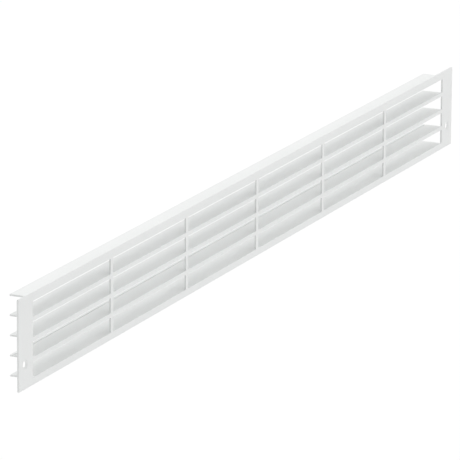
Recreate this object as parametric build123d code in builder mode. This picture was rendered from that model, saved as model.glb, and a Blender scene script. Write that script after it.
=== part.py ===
from build123d import *
import os

# Ventilation grille in one piece, in millimetres: a straight aluminium extrusion whose face plate carries
# thin level fins behind it. The windows are punched through the plate between the fins, the fins are
# cut back at both ends, and each bare end of the plate has one countersunk screw hole.
# X runs along the grille, the face looks towards -Y, the fins stand out towards +Y, and Z is up.
# The origin is on the plate's back, which seats on the panel, midway between the two screw holes.

# windows, counted and measured on the face
window_columns = 6
window_rows = 4
window_width = 92.2
window_height = 8.5
window_corner_radius = 0.4
upright_width = 2.9
bar_height = 2.4

# plain borders round the windows
end_border = 16.15
bottom_border = 4.05
top_border = 4.75

# extruded section
plate_thickness = 1.0
plate_edge_radius = 0.25
fin_depth = 12.4
fin_thickness = 1.0
fin_drop = 0.15
fin_root_radius = 0.1
fin_tip_radius = 0.2

# scored line along the upper face of one fin
scored_fin = 1
score_from_tip = 2.2
score_width = 0.8
score_depth = 0.3

# screw holes
hole_from_end = 7.5
hole_from_bottom = 13.3
hole_radius = 1.65
countersink_radius = 2.9
countersink_angle = 120.0

# worked out from the sizes above
column_pitch = window_width + upright_width
row_pitch = window_height + bar_height
windows_length = window_columns * column_pitch - upright_width
windows_height = window_rows * row_pitch - bar_height
face_length = windows_length + 2 * end_border
face_height = windows_height + bottom_border + top_border
face_bottom = -hole_from_bottom
windows_bottom = face_bottom + bottom_border
hole_spacing = face_length - 2 * hole_from_end

# upper face of each fin: one just under every row of windows, and a top flange one row further up
fin_levels = [windows_bottom + row * row_pitch - fin_drop for row in range(window_rows + 1)]

os.makedirs("parts", exist_ok=True)

with BuildPart() as grille:
    # section across the grille: the plate with all its fins
    with BuildSketch(Plane.YZ) as section:
        with Locations((-plate_thickness, face_bottom)):
            Rectangle(plate_thickness, face_height, align=(Align.MIN, Align.MIN))
        fillet(section.vertices(), plate_edge_radius)
        with Locations([(0, level) for level in fin_levels]):
            Rectangle(fin_depth, fin_thickness, align=(Align.MIN, Align.MAX))
        fin_corners = section.vertices(Select.LAST).group_by(Axis.X)
        fillet(fin_corners[0], fin_root_radius)
        fillet(fin_corners[-1], fin_tip_radius)
        with Locations((fin_depth - score_from_tip, fin_levels[scored_fin])):
            Rectangle(score_width, score_depth, align=(Align.CENTER, Align.MAX), mode=Mode.SUBTRACT)
    extrude(amount=face_length / 2, both=True)

    # the fins stop at the outer windows, so both ends of the plate seat flat
    for end in (-1, 1):
        with Locations((end * face_length / 2, 0, face_bottom)):
            Box(
                2 * end_border,
                fin_depth,
                face_height,
                align=(Align.CENTER, Align.MIN, Align.MIN),
                mode=Mode.SUBTRACT,
            )

    # windows through the plate
    with BuildSketch(Plane.XZ):
        with Locations((0, windows_bottom + windows_height / 2)):
            with GridLocations(column_pitch, row_pitch, window_columns, window_rows):
                RectangleRounded(window_width, window_height, window_corner_radius)
    extrude(amount=plate_thickness, mode=Mode.SUBTRACT)

    # screw holes, countersunk from the front
    with Locations(Plane.XZ.offset(plate_thickness)):
        with GridLocations(hole_spacing, 0, 2, 1):
            CounterSinkHole(
                radius=hole_radius,
                counter_sink_radius=countersink_radius,
                depth=plate_thickness,
                counter_sink_angle=countersink_angle,
            )

grille.part.label = "grille"
export_step(grille.part, "parts/grille.step")
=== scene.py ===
import math
import bmesh
import bpy
from mathutils import Matrix, Vector


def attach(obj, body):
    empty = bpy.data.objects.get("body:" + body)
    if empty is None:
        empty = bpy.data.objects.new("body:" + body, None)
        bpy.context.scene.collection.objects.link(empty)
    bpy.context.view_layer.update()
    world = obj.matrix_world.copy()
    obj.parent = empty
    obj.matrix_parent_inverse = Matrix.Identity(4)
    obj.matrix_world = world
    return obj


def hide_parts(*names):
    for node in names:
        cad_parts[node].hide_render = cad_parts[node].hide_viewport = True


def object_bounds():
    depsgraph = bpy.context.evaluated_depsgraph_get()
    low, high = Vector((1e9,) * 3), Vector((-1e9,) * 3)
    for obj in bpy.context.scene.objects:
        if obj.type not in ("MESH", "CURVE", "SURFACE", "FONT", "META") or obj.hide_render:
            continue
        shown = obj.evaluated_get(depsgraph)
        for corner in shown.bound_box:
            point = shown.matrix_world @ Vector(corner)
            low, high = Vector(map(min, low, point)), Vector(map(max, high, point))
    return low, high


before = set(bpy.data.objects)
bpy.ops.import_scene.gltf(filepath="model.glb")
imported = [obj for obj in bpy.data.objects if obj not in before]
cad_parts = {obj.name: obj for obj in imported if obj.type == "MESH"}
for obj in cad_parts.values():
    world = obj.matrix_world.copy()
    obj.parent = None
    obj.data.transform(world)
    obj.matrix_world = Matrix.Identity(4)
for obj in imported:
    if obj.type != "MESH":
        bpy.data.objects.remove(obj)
cadBox = [list(corner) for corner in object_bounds()]
print("grille: frame loaded, overall box", cadBox)

# where the picture is taken from: low on the left, almost along the face, with a very long lens
camera = {
    "azimuth": -65.5586,  # degrees round the grille, 0 looks straight at the face
    "elevation": 14.905,
    "roll": 0.3347,
    "distance": 2.5689,
    "aim": (-0.00571, 0.01362, 0.00164),
    "lens": 349.90,
    "sensor": 36.0,
}


def addCamera(setup):
    azimuth = math.radians(setup["azimuth"])
    elevation = math.radians(setup["elevation"])
    back = Vector((
        math.sin(azimuth) * math.cos(elevation),
        -math.cos(azimuth) * math.cos(elevation),
        math.sin(elevation),
    ))
    data = bpy.data.cameras.new("viewCamera")
    data.lens = setup["lens"]
    data.sensor_width = setup["sensor"]
    data.clip_start = 0.1
    data.clip_end = 60.0
    eye = bpy.data.objects.new("viewCamera", data)
    bpy.context.scene.collection.objects.link(eye)
    turn = back.to_track_quat("Z", "Y").to_matrix().to_4x4()
    roll = Matrix.Rotation(math.radians(setup["roll"]), 4, "Z")
    eye.matrix_world = Matrix.Translation(Vector(setup["aim"]) + back * setup["distance"]) @ turn @ roll
    bpy.context.scene.camera = eye


addCamera(camera)
print("grille: camera placed")


# one socket of a shader tree, so that maths on it is written as a plain expression
class Wire:
    def __init__(self, board, socket):
        self.board = board
        self.socket = socket

    def __add__(self, other):
        return self.board.maths("ADD", self, other)

    def __radd__(self, other):
        return self.board.maths("ADD", other, self)

    def __sub__(self, other):
        return self.board.maths("SUBTRACT", self, other)

    def __rsub__(self, other):
        return self.board.maths("SUBTRACT", other, self)

    def __mul__(self, other):
        return self.board.maths("MULTIPLY", self, other)

    def __rmul__(self, other):
        return self.board.maths("MULTIPLY", other, self)


# a shader tree that nodes are added to
class Board:
    def __init__(self, owner):
        owner.use_nodes = True
        self.tree = owner.node_tree
        self.tree.nodes.clear()

    # settings are set first, then each socket by its name or number
    def node(self, kind, settings, sockets):
        made = self.tree.nodes.new(kind)
        for name, value in settings.items():
            setattr(made, name, value)
        for name, value in sockets.items():
            if isinstance(value, Wire):
                self.tree.links.new(value.socket, made.inputs[name])
            else:
                made.inputs[name].default_value = value
        return made

    def wire(self, kind, settings, sockets, output=0):
        return Wire(self, self.node(kind, settings, sockets).outputs[output])

    def maths(self, operation, first, second):
        return self.wire("ShaderNodeMath", {"operation": operation}, {0: first, 1: second})


coating = {
    "colour": (0.792, 0.803, 0.798, 1.0),  # white with a trace of green
    "thinColour": (0.776, 0.788, 0.782, 1.0),  # where the film lies a little thinner
    "cloudSize": 0.045,
    "roughness": 0.42,
    "roughnessSwing": 0.10,
    "grainSize": 0.00022,
    "peelSize": 0.0014,  # the long soft ripple of sprayed powder
    "peelHeight": 0.000012,
    "grainHeight": 0.000003,
    "dieLineSize": 0.0009,  # faint lines of the extrusion under the film
    "dieLineHeight": 0.000002,
}


def coatingMaterial(coat):
    made = bpy.data.materials.new("whitePowderCoat")
    board = Board(made)
    place = board.wire("ShaderNodeTexCoord", {}, {}, "Object")

    def noise(size, detail, where=place):
        return board.wire(
            "ShaderNodeTexNoise",
            {"noise_dimensions": "3D"},
            {"Vector": where, "Scale": 1 / size, "Detail": detail, "Roughness": 0.55},
        )

    clouds = noise(coat["cloudSize"], 3.0)
    peel = noise(coat["peelSize"], 1.5)
    grain = noise(coat["grainSize"], 2.0)
    alongLength = board.wire(
        "ShaderNodeVectorMath", {"operation": "MULTIPLY"}, {0: place, 1: (0.01, 1.0, 1.0)}
    )
    dieLines = noise(coat["dieLineSize"], 2.0, alongLength)

    film = clouds * 0.7 + peel * 0.2 + grain * 0.1
    shade = board.wire(
        "ShaderNodeMapRange",
        {"interpolation_type": "SMOOTHSTEP"},
        {"Value": film, "From Min": 0.35, "From Max": 0.65},
    )
    colour = board.wire(
        "ShaderNodeMix",
        {"data_type": "RGBA"},
        {"Factor": shade, 6: coat["thinColour"], 7: coat["colour"]},
        2,
    )
    roughness = coat["roughness"] + (grain * 0.6 + clouds * 0.4 - 0.5) * coat["roughnessSwing"]
    height = peel * coat["peelHeight"] + grain * coat["grainHeight"] + dieLines * coat["dieLineHeight"]
    bump = board.wire("ShaderNodeBump", {}, {"Height": height, "Strength": 1.0, "Distance": 1.0})
    shader = board.wire(
        "ShaderNodeBsdfPrincipled",
        {},
        {"Base Color": colour, "Roughness": roughness, "Normal": bump, "IOR": 1.5},
    )
    board.node("ShaderNodeOutputMaterial", {}, {"Surface": shader})
    return made


# the grille's own sizes in millimetres; its length, height, depth and plate are read from the frame
lattice = {
    "columns": 6,
    "rows": 4,
    "windowWidth": 92.2,
    "windowHeight": 8.5,
    "windowCorner": 0.4,
    "uprightWidth": 2.9,
    "barHeight": 2.4,
    "bottomBorder": 4.05,
    "frontRim": 0.16,  # how far the coat rounds the punched edges
    "backRim": 0.03,
    "plateEdge": 0.25,  # rounded edges of the extruded plate
    "sawnEdge": 0.09,  # and of its two sawn ends
    "plateCorner": 0.3,
    "arcSteps": 6,
}
fins = {
    "drop": 0.15,  # a fin's upper face lies this far under its windows
    "thickness": 1.0,
    "rootRadius": 0.1,
    "tipRadius": 0.2,
    "endRim": 0.06,
    "scored": 1,
    "scoreFromTip": 2.2,
    "scoreWidth": 0.8,
    "scoreDepth": 0.3,
}
screwHoles = {
    "fromEnd": 7.5,
    "radius": 1.65,
    "countersink": 2.9,
    "coneAngle": 120.0,
    "rim": 0.12,
    "steps": 96,
}


def millimetres(metres):
    return metres * 1000


halfLength = millimetres(cadBox[1][0])
face = millimetres(cadBox[0][1])  # the plate's front, with its back at zero
finTip = millimetres(cadBox[1][1])
plateBottom = millimetres(cadBox[0][2])
plateTop = millimetres(cadBox[1][2])


# points round a rectangle with rounded corners, anticlockwise from its lower left
def roundedRectangle(left, right, low, high, radius, steps):
    corners = [(left, low, 180), (right, low, 270), (right, high, 0), (left, high, 90)]
    points = []
    for x, z, start in corners:
        centreX = x + radius if x == left else x - radius
        centreZ = z + radius if z == low else z - radius
        for step in range(steps + 1):
            angle = math.radians(start + 90 * step / steps)
            points.append((centreX + radius * math.cos(angle), centreZ + radius * math.sin(angle)))
    return points


def circle(x, z, radius, steps):
    angles = [2 * math.pi * step / steps for step in range(steps)]
    return [(x + radius * math.cos(angle), z + radius * math.sin(angle)) for angle in angles]


# a quarter round between a flat face and a wall: how far each step stands out, and its depth
def rimSteps(level, inward, radius, steps):
    angles = [math.pi / 2 * step / steps for step in range(steps + 1)]
    return [(radius * (1 - math.sin(angle)), level + inward * radius * (1 - math.cos(angle))) for angle in angles]


# one mesh that grows ring by ring
class Shell:
    def __init__(self):
        self.mesh = bmesh.new()

    def ring(self, points, depth):
        return [self.mesh.verts.new((x, depth, z)) for x, z in points]

    def strip(self, first, second, closed=True):
        count = len(first)
        for here in range(count if closed else count - 1):
            there = (here + 1) % count
            self.mesh.faces.new((first[here], first[there], second[there], second[here]))

    def skin(self, rings, closed=True):
        for first, second in zip(rings, rings[1:]):
            self.strip(first, second, closed)

    def edgesOf(self, loop):
        pairs = zip(loop, loop[1:] + loop[:1])
        return [self.mesh.edges.get(pair) or self.mesh.edges.new(pair) for pair in pairs]

    def fill(self, loops):
        edges = [edge for loop in loops for edge in self.edgesOf(loop)]
        bmesh.ops.triangle_fill(self.mesh, use_beauty=True, use_dissolve=False, edges=edges)

    # flat faces stay flat and only what is rounded is smoothed
    def finished(self, name):
        bmesh.ops.recalc_face_normals(self.mesh, faces=self.mesh.faces)
        for polygon in self.mesh.faces:
            polygon.smooth = max(abs(part) for part in polygon.normal) < 0.99999
        bmesh.ops.scale(self.mesh, vec=(0.001, 0.001, 0.001), verts=self.mesh.verts)
        made = bpy.data.meshes.new(name)
        self.mesh.to_mesh(made)
        self.mesh.free()
        piece = bpy.data.objects.new(name, made)
        bpy.context.scene.collection.objects.link(piece)
        return piece


# the plate's outer edge, from front to back
def plateRings(shell, sizes):
    steps = rimSteps(face, 1, sizes["plateEdge"], sizes["arcSteps"])
    steps += reversed(rimSteps(0.0, -1, sizes["plateEdge"], sizes["arcSteps"]))
    endShare = sizes["sawnEdge"] / sizes["plateEdge"]
    rings = []
    for inset, depth in steps:
        x = halfLength - inset * endShare
        points = roundedRectangle(
            -x, x, plateBottom + inset, plateTop - inset, sizes["plateCorner"], sizes["arcSteps"]
        )
        rings.append(shell.ring(points, depth))
    return rings


def windowRings(shell, left, low, sizes):
    steps = rimSteps(face, 1, sizes["frontRim"], sizes["arcSteps"])
    steps += reversed(rimSteps(0.0, -1, sizes["backRim"], sizes["arcSteps"]))
    rings = []
    for out, depth in steps:
        points = roundedRectangle(
            left - out,
            left + sizes["windowWidth"] + out,
            low - out,
            low + sizes["windowHeight"] + out,
            sizes["windowCorner"] + out,
            sizes["arcSteps"],
        )
        rings.append(shell.ring(points, depth))
    return rings


def screwHoleRings(shell, x, hole):
    coneDepth = (hole["countersink"] - hole["radius"]) / math.tan(math.radians(hole["coneAngle"] / 2))
    profile = [(hole["countersink"] + hole["rim"], face)]
    profile += [(hole["countersink"] + hole["rim"] * 0.3, face + hole["rim"] * 0.15)]
    profile += [(hole["countersink"] - hole["rim"], face + hole["rim"] * 0.6)]
    profile += [(hole["radius"] + hole["rim"] * 0.4, face + coneDepth - hole["rim"] * 0.1)]
    profile += [(hole["radius"], face + coneDepth + hole["rim"] * 0.6)]
    profile += [(hole["radius"], -hole["rim"] * 0.5), (hole["radius"] + hole["rim"] * 0.5, 0.0)]
    return [shell.ring(circle(x, 0.0, radius, hole["steps"]), depth) for radius, depth in profile]


# a fin's outline from its upper root round the tip to its lower root, drawn in by shrink at its cut ends
def finOutline(level, scored, shrink, sizes, steps):
    root = sizes["rootRadius"] + shrink
    tip = sizes["tipRadius"]
    high = level - shrink
    low = level - sizes["thickness"] + shrink
    end = finTip - shrink
    quarter = [math.pi / 2 * step / steps for step in range(steps + 1)]
    outline = [(root - root * math.cos(angle), high + root - root * math.sin(angle)) for angle in quarter]
    if scored:
        middle = finTip - sizes["scoreFromTip"]
        half = sizes["scoreWidth"] / 2
        floor = high - sizes["scoreDepth"]
        outline += [(middle - half, high), (middle - half, floor), (middle + half, floor), (middle + half, high)]
    outline += [(end - tip + tip * math.sin(angle), high - tip + tip * math.cos(angle)) for angle in quarter]
    outline += [(end - tip + tip * math.cos(angle), low + tip - tip * math.sin(angle)) for angle in quarter]
    outline += [(root - root * math.sin(angle), low - root + root * math.cos(angle)) for angle in quarter]
    return outline


# one fin along the grille; gives back the loop where it grows out of the plate
def addFin(shell, level, scored, half, sizes, steps):
    rim = sizes["endRim"]
    stations = [(-half, rim), (rim - half, 0.0), (half - rim, 0.0), (half, rim)]
    rings = []
    for x, shrink in stations:
        outline = finOutline(level, scored, shrink, sizes, steps)
        rings.append([shell.mesh.verts.new((x, y, z)) for y, z in outline])
    shell.skin(rings, closed=False)
    for end in (rings[0], rings[-1]):
        shell.mesh.faces.new(end)
    return [ring[0] for ring in rings] + [ring[-1] for ring in reversed(rings)]


def addGrille(sizes, finSizes, hole):
    shell = Shell()
    pitchX = sizes["windowWidth"] + sizes["uprightWidth"]
    pitchZ = sizes["windowHeight"] + sizes["barHeight"]
    halfWindows = (sizes["columns"] * pitchX - sizes["uprightWidth"]) / 2
    lowest = plateBottom + sizes["bottomBorder"]
    outer = plateRings(shell, sizes)
    shell.skin(outer)
    front, back = [outer[0]], [outer[-1]]
    for row in range(sizes["rows"]):
        for column in range(sizes["columns"]):
            rings = windowRings(shell, column * pitchX - halfWindows, lowest + row * pitchZ, sizes)
            shell.skin(rings)
            front.append(rings[0])
            back.append(rings[-1])
    for side in (-1, 1):
        rings = screwHoleRings(shell, side * (halfLength - hole["fromEnd"]), hole)
        shell.skin(rings)
        front.append(rings[0])
        back.append(rings[-1])
    for fin in range(sizes["rows"] + 1):
        level = lowest + fin * pitchZ - finSizes["drop"]
        back.append(addFin(shell, level, fin == finSizes["scored"], halfWindows, finSizes, sizes["arcSteps"]))
    shell.fill(front)
    shell.fill(back)
    return shell.finished("coatedGrille")


def dressGrille():
    piece = addGrille(lattice, fins, screwHoles)
    piece.data.materials.append(coatingMaterial(coating))
    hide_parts("grille")
    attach(piece, "root")


dressGrille()
print("grille: powder coat on")

studio = {
    "floorDrop": 0.6,  # the grille hangs clear of the floor, as when fixed to a cabinet
    "floorSize": 30.0,
    "floorColour": (0.93, 0.93, 0.93, 1.0),
    "whiteShare": 0.85,  # how much of the floor is plain white to the camera
    "ambient": 0.80,
    "brighterTowards": (0.50, -0.10, 0.60),  # the soft light grows towards the right and overhead
    "lamp": {"towards": (0.0, -0.7, -1.0), "strength": 0.78, "spread": 50},
}


# the camera, and whatever shines or is clear, sees plain white behind the grille
def whiteRays(board):
    rays = board.node("ShaderNodeLightPath", {}, {})
    seen = [Wire(board, rays.outputs[name]) for name in ("Is Camera Ray", "Is Glossy Ray", "Is Transmission Ray")]
    return board.maths("MINIMUM", seen[0] + seen[1] + seen[2], 1.0)


def addFloor(setup):
    half = setup["floorSize"] / 2
    level = cadBox[0][2] - setup["floorDrop"]
    mesh = bpy.data.meshes.new("floor")
    corners = [(-half, -half, level), (half, -half, level), (half, half, level), (-half, half, level)]
    mesh.from_pydata(corners, [], [(0, 1, 2, 3)])
    floor = bpy.data.objects.new("floor", mesh)
    bpy.context.scene.collection.objects.link(floor)
    paint = bpy.data.materials.new("paleFloor")
    board = Board(paint)
    matt = board.wire("ShaderNodeBsdfDiffuse", {}, {"Color": setup["floorColour"]})
    white = board.wire("ShaderNodeEmission", {}, {"Strength": 1.0})
    share = whiteRays(board) * setup["whiteShare"]
    mixed = board.wire("ShaderNodeMixShader", {}, {0: share, 1: matt, 2: white})
    board.node("ShaderNodeOutputMaterial", {}, {"Surface": mixed})
    mesh.materials.append(paint)


def addLamp(setup):
    lamp = setup["lamp"]
    data = bpy.data.lights.new("lampBehind", "SUN")
    data.energy = lamp["strength"]
    data.angle = math.radians(lamp["spread"])
    light = bpy.data.objects.new("lampBehind", data)
    bpy.context.scene.collection.objects.link(light)
    light.rotation_mode = "QUATERNION"
    light.rotation_quaternion = Vector(lamp["towards"]).to_track_quat("-Z", "Y")


def addWorld(setup):
    world = bpy.data.worlds.new("studio")
    bpy.context.scene.world = world
    board = Board(world)
    direction = board.wire("ShaderNodeTexCoord", {}, {}, "Generated")
    lean = board.wire(
        "ShaderNodeVectorMath", {"operation": "DOT_PRODUCT"}, {0: direction, 1: setup["brighterTowards"]}, "Value"
    )
    soft = board.maths("MAXIMUM", lean + setup["ambient"], 0.0)
    plain = whiteRays(board)
    light = board.wire("ShaderNodeBackground", {}, {"Strength": soft * (1 - plain) + plain})
    board.node("ShaderNodeOutputWorld", {}, {"Surface": light})


addFloor(studio)
addLamp(studio)
addWorld(studio)
bpy.context.scene.view_settings.view_transform = "Standard"
print("grille: floor, lamp and background ready")
